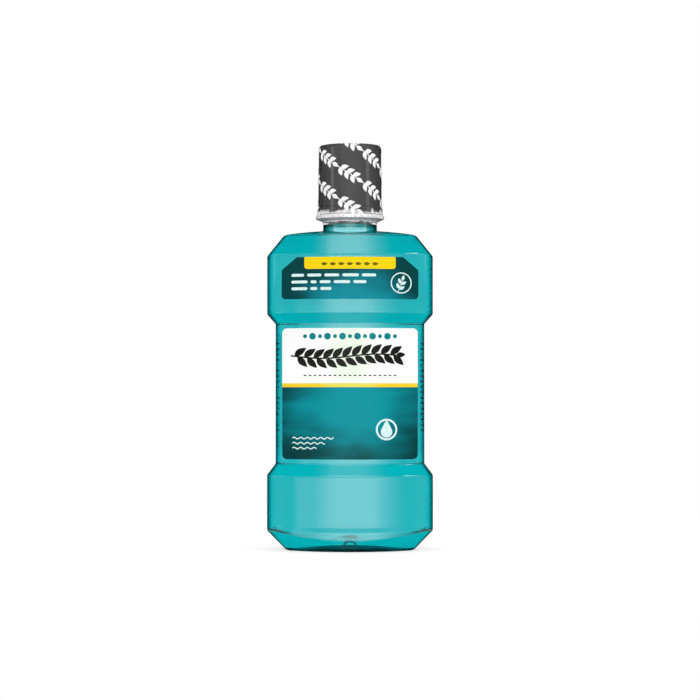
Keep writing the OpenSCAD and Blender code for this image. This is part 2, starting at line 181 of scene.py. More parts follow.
def mid_face(angle):
    """One in the middle of the front or back of the bands, falling to nothing at the corners."""
    edge = plan(0)
    face_x = FACE_R * math.cos(edge[2])
    return max(0.0, 1 - (plan_point(edge, angle)[0] / face_x) ** 2)


def skirt_dip(angle):
    """How far the skirt's upper edge lies below its height at the ends."""
    return -SKIRT_DIP * mid_face(angle)


def stepped(row, share=1.0):
    """A ring moved in at the front and back by a share of the step above the skirt."""
    return [(x, y - math.copysign(STEP_IN * share * mid_face(angle), y), z)
            for (x, y, z), angle in zip(row, NORMALS)]


def step_rings(wall):
    """The step above the skirt as a flat slope, a little higher at the ends than in the middle."""
    rings = []
    for down in (STEP_H + 0.6, STEP_H + 0.3, STEP_H, STEP_H - 0.3, 0.3, 0.0, -0.3, -0.6):
        depth = min(1.0, max(0.0, (down + 0.15) / (STEP_H + 0.3)))
        rings.append(stepped(ring(STEP_Z - down, wall, lift=lambda a: 1.1 * (1 - mid_face(a))),
                             depth))
    return rings


def foot_inset(inset):
    """The foot's outline: drawn in less at the front and back, and rounder there."""
    return (inset, inset - BASE_INSET + BASE_INSET_D, BASE_FACE_R + BASE_INSET - inset)


def top_inset(inset, wall):
    """The outline above the upper band: drawn in less at the front and back."""
    face_in = wall + (inset - wall) * TOP_INSET_D / TOP_INSET
    return (inset, face_in, FACE_R - face_in)


def side_ring(inset, z, wall):
    """A ring of the body's side, where the skirt, the panel and the top differ in plan."""
    if z < SKIRT_Z / 2:
        return ring(z, foot_inset(inset))
    if z < LOWER_BAND_Z / 2:
        return ring(z, inset, lift=skirt_dip)
    if z > (UPPER_BAND_Z + TOP_LOW_Z) / 2:
        return ring(z, top_inset(inset, wall))
    return ring(z, inset)


def rounded(corners, support=0.35):
    """A path through (a, b, radius) corners with each turned into an arc.

    The straight runs keep a point close to every arc, so that smooth shading stays flat there.
    """
    path = []
    last = len(corners) - 1
    for i, (a, b, radius) in enumerate(corners):
        here = Vector((a, b))
        if i in (0, last) or radius == 0:
            path.append(here)
            continue
        before = Vector(corners[i - 1][:2]) - here
        after = Vector(corners[i + 1][:2]) - here
        turn = math.pi - before.angle(after)
        room = 0.45 * min(before.length, after.length)
        reach = min(radius * math.tan(turn / 2), room)
        r = reach / math.tan(turn / 2)
        before.normalize()
        after.normalize()
        centre = here + (before + after).normalized() * (r / math.cos(turn / 2))
        start = here + before * reach
        steps = max(3, round(math.degrees(turn) / SMOOTH_STEP))
        side = 1 if before.cross(after) < 0 else -1
        spoke = start - centre
        path.append(start + before * min(support, room))
        for k in range(steps + 1):
            path.append(centre + Matrix.Rotation(side * turn * k / steps, 2) @ spoke)
        path.append(here + after * (reach + min(support, room)))
    return path


def drawn_in(corners, by):
    """The same (inset, z, radius) corners moved in by a wall's thickness, square to each run."""
    runs = []
    for (a0, b0, _), (a1, b1, _) in zip(corners, corners[1:]):
        way = Vector((a1 - a0, b1 - b0)).normalized()
        inward = Vector((way.y, -way.x))
        runs.append((Vector((a0, b0)) + inward * by, way))
    moved = [(*runs[0][0], corners[0][2])]
    for (p, u), (q, v), (_, _, radius) in zip(runs, runs[1:], corners[1:]):
        t = (q - p).cross(v) / u.cross(v)
        convex = u.cross(v) > 0
        moved.append((*(p + u * t), max(radius - by, 0.5) if convex else radius + by))
    end = Vector(corners[-1][:2])
    p, u = runs[-1]
    moved.append((*(p + u * (end - p).dot(u)), corners[-1][2]))
    return moved


SIDE_CORNERS = [
    (FOOT_IN, 0, 0),
    (BASE_CORNER_INSET, 0, FOOT_EDGE_R),
    (0, SKIRT_Z, EDGE_R),
    (0, LOWER_BAND_Z, EDGE_R),
    (PANEL_INSET, PANEL_LOW_Z, PANEL_EDGE_R),
    (PANEL_INSET, PANEL_HIGH_Z, PANEL_EDGE_R),
    (0, UPPER_BAND_Z, EDGE_R),
    (0, TOP_LOW_Z, EDGE_R),
    (TOP_INSET, TOP_HIGH_Z, EDGE_R),
    (TOP_INSET + 4, TOP_HIGH_Z + 0.3, 0),
]


def shoulder_rise(share):
    """The shoulder's height above its edge, by normal angle, that far in towards the neck."""
    reached = share * (1.3 - 0.3 * share)
    return lambda angle: reached * (
        SHOULDER_H_D + (SHOULDER_H - SHOULDER_H_D) * math.cos(angle) ** 2)


def body_rings(wall):
    """Rings from the middle of the underside up to the foot of the neck."""
    lift = FLOOR_T if wall else 0.0
    rings = [circle(PUSH_UP_H + lift + BOSS_H * rise, (BOSS_R + wall * 0.6) * share)
             for share, rise in BOSS_PROFILE]
    for i in range(PUSH_UP_STEPS):
        shrink = 0.3 + 0.7 * (i / PUSH_UP_STEPS) ** 0.8
        z = PUSH_UP_H * (1 - ((shrink - 0.25) / 0.75) ** PUSH_UP_CURVE) + lift
        rings.append(ring(z, foot_inset(FOOT_IN + wall), shrink, max(0.0, 0.5 - i * 0.12),
                          BOSS_R * 1.9))
    side = drawn_in(SIDE_CORNERS, wall) if wall else SIDE_CORNERS
    if wall:
        side[0] = (FOOT_IN, FLOOR_T + wall - WALL_T, 0)
        side[1] = (side[1][0], FLOOR_T + wall - WALL_T, side[1][2])
    path = rounded(side)[:-1]
    split = max(i for i, p in enumerate(path) if p.y < LOWER_BAND_Z / 2) + 1
    skirt = [side_ring(p.x, p.y, wall) for p in path[:split]]
    foot = [row for row in skirt if row[0][2] < SKIRT_Z / 2]
    rings += foot + [stepped(row) for row in skirt[len(foot):]] + step_rings(wall)
    rings += [side_ring(p.x, p.y, wall) for p in path[split:]]
    neck_in = (NECK_BORE_R + WALL_T - wall) if wall else NECK_R
    edge = top_inset(side[-2][0], wall)
    for i in range(2, 21):
        blend = i / 20
        rings.append(ring(TOP_HIGH_Z - wall, edge, 1, blend, neck_in, shoulder_rise(blend)))
    return rings


def ridge_height(angle, z):
    """How far the neck's thread stands out at an angle and height."""
    low_z = RIM_Z - THREAD_TOP - THREAD_LEAD * THREAD_TURN
    best = 0.0
    for start in range(THREAD_STARTS):
        turned = (angle / math.tau - start / THREAD_STARTS) % 1.0
        if turned > THREAD_TURN:
            continue
        off = abs(z - low_z - THREAD_LEAD * turned)
        share = (RIDGE_W / 2 - off) / ((RIDGE_W - CREST_W) / 2)
        fade = min(1.0, turned / 0.06, (THREAD_TURN - turned) / 0.06)
        best = max(best, RIDGE_H * fade * min(1.0, max(0.0, share)))
    return best


def finish_rings():
    """Rings of the threaded finish from the support ring up to the rim."""
    rows = 60
    rings = []
    for k in range(rows + 1):
        z = RING_Z + 0.15 + (RIM_Z - RIM_CHAMFER - RING_Z - 0.15) * k / rows
        rings.append([((FINISH_R + ridge_height(a, z)) * math.cos(a),
                       (FINISH_R + ridge_height(a, z)) * math.sin(a), z) for a in NORMALS])
    return rings


def neck_outside():
    """Rings from the neck's foot, which follows the shoulder, up to the rim."""
    fillet = [ring(TOP_HIGH_Z + 0.5 * (1 - math.cos(a)), 0, 1, 1, NECK_R + 0.5 * (1 - math.sin(a)),
                   shoulder_rise(1)) for a in (0.1, 0.5, 0.9, 1.25, math.pi / 2)]
    above = rounded([
        (NECK_R, NECK_Z + 0.8, 0), (NECK_R, RING_SLOPE_Z, 0.3),
        (RING_R, RING_LOW_Z, 0.35), (RING_R, RING_Z, 0.35), (FINISH_R, RING_Z, 0)], 0.15)
    return fillet + [circle(p.y, p.x) for p in above] + finish_rings()


def neck_inside():
    """Rings from the rim down the bore."""
    path = rounded([
        (FINISH_R - RIM_CHAMFER, RIM_Z, 0), (BORE_R, RIM_Z, 0.3), (BORE_R, RIM_Z - BORE_H, 0.4),
        (NECK_BORE_R, RIM_Z - BORE_H - BORE_CONE_H, 0.4), (NECK_BORE_R, NECK_Z, 0)], 0.15)
    return [circle(p.y, p.x) for p in path]


# Meshes

def new_object(name, data):
    """An object with that data, linked into the scene."""
    obj = bpy.data.objects.new(name, data)
    bpy.context.scene.collection.objects.link(obj)
    return obj


def to_mesh(name, points, faces, smooth=True):
    """A new object from millimetre points, its normals turned outwards."""
    mesh = bpy.data.meshes.new(name)
    mesh.from_pydata([Vector(p) * MM for p in points], [], faces)
    mesh.validate()
    bm = bmesh.new()
    bm.from_mesh(mesh)
    bmesh.ops.recalc_face_normals(bm, faces=bm.faces)
    bm.to_mesh(mesh)
    bm.free()
    for face in mesh.polygons:
        face.use_smooth = smooth
    return new_object(name, mesh)


def skin(name, rings, close_ends=True):
    """A surface over rings that have as many points, its ends closed to a middle point."""
    n = len(rings[0])
    points = [p for row in rings for p in row]
    faces = []
    for k in range(len(rings) - 1):
        for i in range(n):
            j = (i + 1) % n
            faces.append((k * n + i, k * n + j, (k + 1) * n + j, (k + 1) * n + i))
    if close_ends:
        for k in (0, len(rings) - 1):
            middle = sum((Vector(p) for p in rings[k]), Vector()) / n
            points.append(tuple(middle))
            faces += [(k * n + i, k * n + (i + 1) % n, len(points) - 1) for i in range(n)]
    else:
        last = len(rings) - 1
        faces += [(last * n + i, last * n + (i + 1) % n, (i + 1) % n, i) for i in range(n)]
    return to_mesh(name, points, faces)


def turned_rings(path, steps, shift=None):
    """Rings round the axis from (radius, height) points, moved (out, up) by angle and height."""
    rings = []
    for r, z in path:
        row = []
        for i in range(steps):
            a = math.tau * i / steps
            out, up = shift(a, z) if shift else (0.0, 0.0)
            row.append(((r + out) * math.cos(a), (r + out) * math.sin(a), z + up))
        rings.append(row)
    return rings


def keep_sharp(obj, angle=32.0):
    """Keeps edges sharper than angle crisp under smooth shading."""
    obj.data.set_sharp_from_angle(angle=math.radians(angle))


def finish_piece(obj, body, slot, material, *nodes):
    """Rides a piece on its body, hides the parts it stands in for and gives it its material."""
    obj.data.materials.clear()
    obj.data.materials.append(material)
    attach(obj, body)
    if nodes:
        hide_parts(*nodes)


# Node helpers

def new_material(name):
    """A material, its node tree and its shader."""
    material = bpy.data.materials.new(name)
    material.use_nodes = True
    tree = material.node_tree
    return material, tree, tree.nodes["Principled BSDF"]


def add(tree, kind, inputs=None, **settings):
    """A node of that kind with its settings and inputs; a socket given as input is linked."""
    node = tree.nodes.new(kind)
    for key, value in settings.items():
        setattr(node, key, value)
    for key, value in (inputs or {}).items():
        if isinstance(value, bpy.types.NodeSocket):
            tree.links.new(value, node.inputs[key])
        else:
            node.inputs[key].default_value = value
    return node


def math_node(tree, operation, a, b=0.0):
    return add(tree, "ShaderNodeMath", {0: a, 1: b}, operation=operation).outputs[0]


def relative(tree, value, middle, reach):
    """How far value lies past middle, as a share of reach."""
    return math_node(tree, "DIVIDE", math_node(tree, "SUBTRACT", value, middle), reach)


def squares(tree, a, b):
    return math_node(tree, "ADD", math_node(tree, "MULTIPLY", a, a),
                     math_node(tree, "MULTIPLY", b, b))


def hypotenuse(tree, a, b):
    return math_node(tree, "SQRT", squares(tree, a, b))


def map_range(tree, value, low, high, to_low=0.0, to_high=1.0, smooth=True):
    node = add(tree, "ShaderNodeMapRange", {
        "Value": value, "From Min": low, "From Max": high, "To Min": to_low, "To Max": to_high},
        interpolation_type="SMOOTHSTEP" if smooth else "LINEAR")
    return node.outputs["Result"]


def mix_colours(tree, factor, a, b):
    return add(tree, "ShaderNodeMix", {0: factor, 6: a, 7: b}, data_type="RGBA").outputs[2]


def colour_ramp(tree, value, stops):
    """Straight blends between (place, colour) stops."""
    node = add(tree, "ShaderNodeValToRGB", {0: value})
    elements = node.color_ramp.elements
    while len(elements) < len(stops):
        elements.new(0.5)
    for element, (place, colour) in zip(elements, stops):
        element.position = place
        element.color = colour
    return node.outputs[0]


def rgb(r, g, b):
    """A linear colour from the 0 to 255 values it has on screen."""
    def linear(v):
        v /= 255
        return v / 12.92 if v <= 0.04045 else ((v + 0.055) / 1.055) ** 2.4
    return (linear(r), linear(g), linear(b), 1.0)


def object_place(tree):
    """Object coordinates in millimetres, as a vector and as x, y and z."""
    place = add(tree, "ShaderNodeTexCoord").outputs["Object"]
    scaled = add(tree, "ShaderNodeVectorMath", {0: place, "Scale": 1 / MM}, operation="SCALE")
    split = add(tree, "ShaderNodeSeparateXYZ", {0: scaled.outputs[0]})
    return scaled.outputs[0], split.outputs


def noise_at(tree, vector, scale, detail=2.0, roughness=0.5):
    return add(tree, "ShaderNodeTexNoise", {
        "Vector": vector, "Scale": scale, "Detail": detail, "Roughness": roughness}).outputs


def bump(tree, height, strength, distance):
    return add(tree, "ShaderNodeBump", {
        "Height": height, "Strength": strength, "Distance": distance}).outputs[0]


# Materials

PET_TINT = (0.97, 1.0, 1.0, 1)
# Painted shade: the body's clear plastic darkens towards its silhouettes, to dark teal seen
# edge-on.
BODY_EDGE_SHADE = ((0.72, PET_TINT), (0.8, (0.4, 0.55, 0.55, 1)), (0.9, (0.0, 0.08, 0.085, 1)))
# Painted shade low on the skirt, standing for the domed underside seen behind it: colour and shape.
FOOT_SHADE = (0.0, 0.05, 0.055, 1)
ARCH_W, ARCH_TOP_Z, ARCH_LOW_Z = 27.0, 3.9, 1.7
KNOB_W, KNOB_H = 3.0, 1.8
# Painted shade on the domed underside: dark teal, near black when seen aslant.
UNDERSIDE_SHADE = ((0.0, (0.0, 0.3, 0.32, 1)), (1.0, (0.0, 0.02, 0.022, 1)))
# Painted shade on the neck: clear face-on, dark teal to near black towards its silhouettes.
NECK_EDGE_SHADE = ((0.14, PET_TINT), (0.25, (0.005, 0.31, 0.28, 1)), (0.42, (0.0, 0.073, 0.058, 1)),
              (0.7, (0.0, 0.003, 0.003, 1)))


def painted_arch_shade(tree, axes):
    """One under a low arch on the skirt and on a thin bow above it, else zero: painted shade."""
    across = relative(tree, axes["X"], 0.0, ARCH_W)
    top = map_range(tree, math_node(tree, "MULTIPLY", across, across), 0.0, 1.0, ARCH_TOP_Z,
                    ARCH_LOW_Z, smooth=False)
    arch = map_range(tree, math_node(tree, "SUBTRACT", axes["Z"], top), -0.3, 0.3, 1.0, 0.0)
    from_knob = hypotenuse(tree, relative(tree, axes["X"], 0.0, KNOB_W),
                           relative(tree, axes["Z"], ARCH_TOP_Z, KNOB_H))
    off = math_node(tree, "ABSOLUTE", math_node(tree, "SUBTRACT", from_knob, 1.0))
    knob = math_node(tree, "MULTIPLY", map_range(tree, off, 0.1, 0.3, 1.0, 0.0),
                     math_node(tree, "GREATER_THAN", axes["Z"], ARCH_TOP_Z))
    return math_node(tree, "MAXIMUM", arch, knob)


def clear_pet(name, shade_tones=None, top_z=1000.0):
    """Blown clear plastic, faintly rippled.

    The tones are painted shade: the outside's colours by how far aslant it is seen, below top_z.
    """
    material, tree, shader = new_material(name)
    vector, axes = object_place(tree)
    if shade_tones:
        # Painted shade: darker towards the silhouettes, and dark in an arch low on the skirt.
        aslant = add(tree, "ShaderNodeLayerWeight", {"Blend": 0.5}).outputs["Facing"]
        inside = add(tree, "ShaderNodeNewGeometry").outputs["Backfacing"]
        plain = math_node(tree, "MAXIMUM", inside, map_range(
            tree, axes["Z"], top_z - 0.2, top_z + 0.2))
        tint = mix_colours(tree, painted_arch_shade(tree, axes), colour_ramp(tree, aslant, shade_tones),
                           FOOT_SHADE)
        tint = mix_colours(tree, plain, tint, PET_TINT)
        tree.links.new(tint, shader.inputs["Base Color"])
    else:
        shader.inputs["Base Color"].default_value = PET_TINT
    ripple = noise_at(tree, vector, 0.06, 1.0)["Fac"]
    tree.links.new(bump(tree, ripple, 0.05, 0.002), shader.inputs["Normal"])
    shader.inputs["Transmission Weight"].default_value = 1.0
    shader.inputs["IOR"].default_value = 1.57
    shader.inputs["Roughness"].default_value = 0.02
    return material


def teal_liquid():
    """Clear teal liquid: most of its colour on entry, the rest with depth."""
    material, tree, shader = new_material("teal_liquid")
    _, axes = object_place(tree)
    # Painted light in the neck: the liquid turns lighter there, lightest in a band at the neck's
    # foot.
    in_neck = map_range(tree, axes["Z"], NECK_Z - 1.8, NECK_Z - 0.6)
    higher = map_range(tree, axes["Z"], NECK_Z + 0.7, NECK_Z + 1.3)
    # Painted shade: a dark line just under the liquid's level, at its meniscus.
    meniscus_shade = map_range(tree, axes["Z"], FILL_Z - 1.0, FILL_Z - 0.5)
    tone = mix_colours(tree, in_neck, (0.002, 0.52, 0.56, 1), (0.44, 0.78, 0.82, 1))
    tone = mix_colours(tree, higher, tone, (0.2, 0.62, 0.67, 1))
    tone = mix_colours(tree, meniscus_shade, tone, (0.0, 0.1, 0.09, 1))
    tree.links.new(tone, shader.inputs["Base Color"])
    shader.inputs["Transmission Weight"].default_value = 1.0
    shader.inputs["IOR"].default_value = 1.34
    shader.inputs["Roughness"].default_value = 0.0
    shader.inputs["Specular Tint"].default_value = (0.02, 0.5, 0.55, 1)
    depth = add(tree, "ShaderNodeVolumeAbsorption", {"Color": (0.0, 0.86, 0.88, 1)})
    depth.inputs["Density"].default_value = 14.0
    tree.links.new(depth.outputs[0], tree.nodes["Material Output"].inputs["Volume"])
    return material


def dark_grey_plastic():
    """Moulded dark grey plastic with fine upright streaks and a satin surface."""
    material, tree, shader = new_material("dark_grey_plastic")
    vector, _ = object_place(tree)
    grain = noise_at(tree, vector, 0.9, 4.0, 0.6)["Fac"]
    tone = mix_colours(tree, grain, rgb(44, 44, 45), rgb(56, 56, 57))
    tree.links.new(tone, shader.inputs["Base Color"])
    tree.links.new(map_range(tree, grain, 0.3, 0.7, 0.38, 0.5), shader.inputs["Roughness"])
    fine = noise_at(tree, vector, 6.0, 2.0)["Fac"]
    tree.links.new(bump(tree, fine, 0.08, 0.00005), shader.inputs["Normal"])
    shader.inputs["Specular IOR Level"].default_value = 0.12
    shader.inputs["Coat Weight"].default_value = 1.0
    shader.inputs["Coat Roughness"].default_value = 0.08
    return material


def natural_plastic():
    """Milky uncoloured plastic."""
    material, tree, shader = new_material("natural_plastic")
    vector, _ = object_place(tree)
    cloud = noise_at(tree, vector, 0.5, 3.0)["Fac"]
    tone = mix_colours(tree, cloud, rgb(214, 217, 217), rgb(232, 234, 233))
    tree.links.new(tone, shader.inputs["Base Color"])
    shader.inputs["Roughness"].default_value = 0.42
    shader.inputs["Subsurface Weight"].default_value = 0.2
    shader.inputs["Subsurface Scale"].default_value = 0.002
    return material


def clear_film(name, cloudy_from, cloudy_to, low_alpha, high_alpha):
    """Thin clear film: nearly unseen where it lies flat, whitish where it is crumpled."""
    material, tree, shader = new_material(name)
    vector, axes = object_place(tree)
    stretched = add(tree, "ShaderNodeMapping", {0: vector, "Scale": (1.0, 1.0, 0.5)}).outputs[0]
    broad = noise_at(tree, stretched, 0.22, 2.0, 0.5)["Fac"]
    crease = noise_at(tree, stretched, 0.85, 3.0, 0.55)["Fac"]
    low = map_range(tree, math_node(tree, "ADD", axes["Z"], map_range(
        tree, broad, 0.3, 0.7, -1.0, 1.0)), cloudy_from, cloudy_to, 1.0, 0.0)
    folds = map_range(tree, crease, 0.38, 0.5)
    cloud = math_node(tree, "MULTIPLY", low, map_range(tree, folds, 0.0, 1.0, 0.62, 1.0))
    tree.links.new(map_range(tree, cloud, 0.0, 1.0, low_alpha, high_alpha, smooth=False),
                   shader.inputs["Alpha"])
    # Painted shade: greyish pink lines along the folds of the film.
    off_fold = math_node(tree, "ABSOLUTE", math_node(tree, "SUBTRACT", crease, 0.5))
    tone = mix_colours(tree, map_range(tree, off_fold, 0.0, 0.035), rgb(206, 194, 199),
                       rgb(253, 251, 252))
    tree.links.new(tone, shader.inputs["Base Color"])
    tree.links.new(bump(tree, crease, 0.3, 0.0003), shader.inputs["Normal"])
    shader.inputs["Roughness"].default_value = 0.2
    shader.inputs["Specular IOR Level"].default_value = 0.25
    return material


def printed_label(name, paint):
    """A printed film label: paint builds its colour from the place on it."""
    material, tree, shader = new_material(name)
    vector, axes = object_place(tree)
    colour = paint(tree, vector, axes)
    grain = noise_at(tree, vector, 3.0, 3.0)["Fac"]
    toned = mix_colours(tree, map_range(tree, grain, 0.3, 0.7, 0.0, 0.03), colour, (0, 0, 0, 1))
    tree.links.new(toned, shader.inputs["Base Color"])
    tree.links.new(map_range(tree, grain, 0.3, 0.7, 0.22, 0.28), shader.inputs["Roughness"])
    shader.inputs["Specular IOR Level"].default_value = 0.08
    return material


def teal_field(tree, vector, axes, middle, reach, light, dark):
    """Teal that is lightest round a middle point, with soft drifting waves in it."""
    far = hypotenuse(tree, relative(tree, axes["X"], middle[0], reach[0]),
                     relative(tree, axes["Z"], middle[1], reach[1]))
    flat = add(tree, "ShaderNodeMapping", {0: vector, "Scale": (0.35, 0.0, 1.0)}).outputs[0]
    drift = noise_at(tree, flat, 0.09, 2.0, 0.45)["Fac"]
    shade = math_node(tree, "ADD", far, map_range(tree, drift, 0.3, 0.7, -0.16, 0.16))
    return mix_colours(tree, map_range(tree, shade, 0.25, 1.15), light, dark)


GLOW_Z, GLOW_W, GLOW_H = 101.0, 15.0, 22.0


def front_paint(tree, vector, axes):
    """White above a yellow stripe above a teal field."""
    glow = squares(tree, relative(tree, axes["X"], 0.0, GLOW_W),
                   relative(tree, axes["Z"], GLOW_Z, GLOW_H))
    white = mix_colours(tree, map_range(tree, glow, 0.0, 1.0), rgb(232, 244, 226),
                        rgb(250, 251, 250))
    teal = teal_field(tree, vector, axes, (0.0, 76.0), (44.0, 30.0), rgb(2, 142, 152),
                      rgb(0, 60, 62))
    above = math_node(tree, "GREATER_THAN", axes["Z"], STRIPE_Z + STRIPE_H)
    below = math_node(tree, "LESS_THAN", axes["Z"], STRIPE_Z)
    yellow = mix_colours(tree, map_range(tree, glow, 0.6, 1.8), rgb(232, 218, 92),
                         rgb(240, 206, 48))
    upper = mix_colours(tree, above, yellow, white)
    return mix_colours(tree, below, upper, teal)


def shoulder_paint(tree, vector, axes):
    """Dark teal, lighter towards the lower middle."""
    return teal_field(tree, vector, axes, (4.0, 131.5), (30.0, 16.0), rgb(8, 134, 148),
                      rgb(0, 64, 66))


def ink(name, colour, other, scale=0.6):
    """Printing ink with a slight unevenness between two close colours."""
    def paint(tree, vector, axes):
        spread = noise_at(tree, vector, scale, 2.0)["Fac"]
        return mix_colours(tree, map_range(tree, spread, 0.35, 0.65), colour, other)
    return printed_label(name, paint)


def dark_ink():
    return ink("dark_ink", rgb(16, 17, 15), rgb(28, 31, 24))


def pale_ink():
    return ink("pale_ink", rgb(222, 243, 243), rgb(205, 234, 235))


def white_ink():
    return ink("white_ink", rgb(252, 252, 252), rgb(242, 243, 244))


# Flat outlines, as (across, up) points

def arc(cx, cy, r, start, end, steps=12):
    """Points on a circle from one angle in degrees to another."""
    return [(cx + r * math.cos(math.radians(start + (end - start) * i / steps)),
             cy + r * math.sin(math.radians(start + (end - start) * i / steps)))
            for i in range(steps + 1)]


def panel_outline(w, z, h, r):
    """A rectangle with rounded corners."""
    return (arc(w / 2 - r, z + r, r, -90, 0) + arc(w / 2 - r, z + h - r, r, 0, 90)
            + arc(r - w / 2, z + h - r, r, 90, 180) + arc(r - w / 2, z + r, r, 180, 270))


def cut_outline(w, z, h, r, cut_w, cut_h):
    """Rounded lower corners and cut-off upper corners."""
    right = [(w / 2, z + h - cut_h), (w / 2 - cut_w, z + h)]
    left = [(cut_w - w / 2, z + h), (-w / 2, z + h - cut_h)]
    return (arc(w / 2 - r, z + r, r, -90, 0) + right + left
            + arc(r - w / 2, z + r, r, 180, 270))


def tab_outline(w, z, h, r):
    """Square above, rounded below."""
    return (arc(w / 2 - r, z + r, r, -90, 0) + [(w / 2, z + h), (-w / 2, z + h)]
            + arc(r - w / 2, z + r, r, 180, 270))


def turned(flat, x, y, angle):
    """Points turned by an angle in degrees and moved to (x, y)."""
    turn = math.radians(angle)
    return [(x + u * math.cos(turn) - v * math.sin(turn),
             y + u * math.sin(turn) + v * math.cos(turn)) for u, v in flat]


def leaf(x, y, length, width, angle, steps=7):
    """A pointed leaf from (x, y) along angle."""
    side = [(length * i / steps, width / 2 * math.sin(math.pi * (i / steps) ** 0.8))
            for i in range(steps + 1)]
    return turned(side + [(u, -v) for u, v in reversed(side[1:-1])], x, y, angle)


def bar(x, y, length, width, angle=0.0):
    """A short stroke with round ends, centred on (x, y)."""
    half, r = length / 2 - width / 2, width / 2
    return turned(arc(half, 0, r, -90, 90, 5) + arc(-half, 0, r, 90, 270, 5), x, y, angle)


def sprig(x, y, length, angle, pairs=4):
    """A stem with leaves in pairs and one at its tip, centred on (x, y)."""
    def at(u, v):
        return turned([(u, v)], x, y, angle)[0]

    outlines = []
    gap = length / (pairs + 1)
    for i in range(pairs):
        u = (i + 0.35) * gap - length / 2
        for side in (-1, 1):
            outlines.append(leaf(*at(u + 0.06 * side * gap, 0.09 * side * gap), gap * 1.15,
                                 gap * 0.62, angle + side * 40))
    outlines.append(leaf(*at(length / 2 - gap * 0.9, 0), gap * 1.1, gap * 0.6, angle))
    outlines.append(bar(*at(-gap * 0.45, 0), length * 0.86, gap * 0.12, angle))
    return outlines


def band_along(points, width):
    """A stroke of even width along a list of points."""
    left, right = [], []
    for i, (x, y) in enumerate(points):
        x0, y0 = points[max(i - 1, 0)]
        x1, y1 = points[min(i + 1, len(points) - 1)]
        way = Vector((x1 - x0, y1 - y0)).normalized() * (width / 2)
        left.append((x - way.y, y + way.x))
        right.append((x + way.y, y - way.x))
    return left + right[::-1]


def disc(x, y, r, steps=24):
    return arc(x, y, r, 0, 360 - 360 / steps, steps - 1)


def hoop(x, y, r, width, steps=36):
    """A ring, as quarters that meet, so that each is a simple outline."""
    return [arc(x, y, r, 90 * k, 90 * k + 90, steps // 4)
            + arc(x, y, r - width, 90 * k + 90, 90 * k, steps // 4) for k in range(4)]


def drop(x, y, r):
    """A falling drop: round below, pointed above."""
    return arc(x, y, r, 150, 390, 20) + [(x + r * 0.5, y + r * 1.2), (x, y + r * 2.1),
                                         (x - r * 0.5, y + r * 1.2)]


def dashes(source, start, end, y, width):
    """A line of short strokes of uneven length, from start to end."""
    strokes = []
    while start < end - 2 * width:
        length = min(source.uniform(3.0, 9.0), end - start)
        strokes.append(bar(start + length / 2, y, length, width))
        start += length + width
    return strokes


def long_branch():
    """A dark branch of broad leaves, curling gently across the white part of the label."""
    stem = [(x, BRANCH_Z + 1.1 * math.sin(x * 0.11)) for x in range(-31, 25)]
    outlines = [band_along(stem, 0.8)]
    for i in range(2, len(stem) - 1, 5):
        x, y = stem[i]
        slope = math.degrees(math.atan2(stem[i + 1][1] - stem[i - 1][1], 2.0))
        outlines.append(leaf(x, y + 0.5, 7.4, 3.5, slope + 38))
        outlines.append(leaf(x + 1.6, y - 0.5, 7.4, 3.5, slope - 38))
    outlines.append(leaf(*stem[-1], 5.0, 2.8, 6))
    return outlines


# Thin pieces that follow a curved wall

def wrapped(name, outlines, place, thick, cell=1.6):
    """Thin closed slabs over flat outlines; place turns (across, up, out) into a point."""
    bm = bmesh.new()
    for outline in outlines:
        verts = [bm.verts.new((x, y, 0)) for x, y in outline]
        edges = [bm.edges.new((verts[i - 1], verts[i])) for i in range(len(verts))]
        bmesh.ops.triangle_fill(bm, use_beauty=True, edges=edges, normal=(0, 0, 1))
    low = min(v.co.x for v in bm.verts)
    high = max(v.co.x for v in bm.verts)
    cuts = int((high - low) / cell)
    for i in range(1, cuts + 1):
        geometry = bm.verts[:] + bm.edges[:] + bm.faces[:]
        bmesh.ops.bisect_plane(bm, geom=geometry, dist=1e-5, plane_no=(1, 0, 0),
                               plane_co=(low + (high - low) * i / (cuts + 1), 0, 0))
    bm.verts.index_update()
    n = len(bm.verts)
    flat = [tuple(v.co[:2]) for v in bm.verts]
    faces = [tuple(v.index for v in f.verts) for f in bm.faces]
    rims = [e for e in bm.edges if len(e.link_faces) == 1]
    walls = []
    for edge in rims:
        loop = edge.link_loops[0]
        a, b = loop.vert.index, loop.link_loop_next.vert.index
        walls.append((b, a, a + n, b + n))
    bm.free()
    points = [place(x, y, thick) for x, y in flat] + [place(x, y, 0.0) for x, y in flat]
    faces = faces + [tuple(i + n for i in reversed(f)) for f in faces] + walls
    return to_mesh(name, points, faces, smooth=False)


def on_wall(inset, out, back=False):
    """Places a point on the front wall drawn in by inset, or on the back wall."""
    side = -1 if back else 1

    def place(x, z, more):
        return (side * x, side * (wall_y(inset, x) - out - more), z)
    return place


def cap_path(away):
    """The cap's side and top edge as (radius, height) points, moved out by away."""
    corner = (CAP_TOP_R - CAP_ROUND, CAP_Z + CAP_H - CAP_ROUND)
    band_z = CAP_Z + CAP_BAND_H
    side = [(CAP_BAND_R + away, CAP_Z), (CAP_BAND_R + away, band_z),
            (CAP_BAND_R - CAP_STEP + away, band_z + CAP_STEP + away)]
    return side + arc(*corner, CAP_ROUND + away, 0, 90, 8)


def on_cap(away):
    """Places (round, up, out) on the cap's skin, over its top edge too."""
    path = [Vector(p) for p in cap_path(away)]
    path.append(path[-1] - Vector((6.0, 0)))
    lengths = [0.0]
    for a, b in zip(path, path[1:]):
        lengths.append(lengths[-1] + (b - a).length)

    def place(u, v, more):
        k = max(i for i in range(len(path) - 1) if lengths[i] <= max(v, 0))
        way = (path[k + 1] - path[k]).normalized()
        at = path[k] + way * (v - lengths[k]) + Vector((way.y, -way.x)) * more
        turn = u / CAP_TOP_R - math.pi / 2
        return (at.x * math.cos(turn), at.x * math.sin(turn), at.y)
    return place


# Pieces

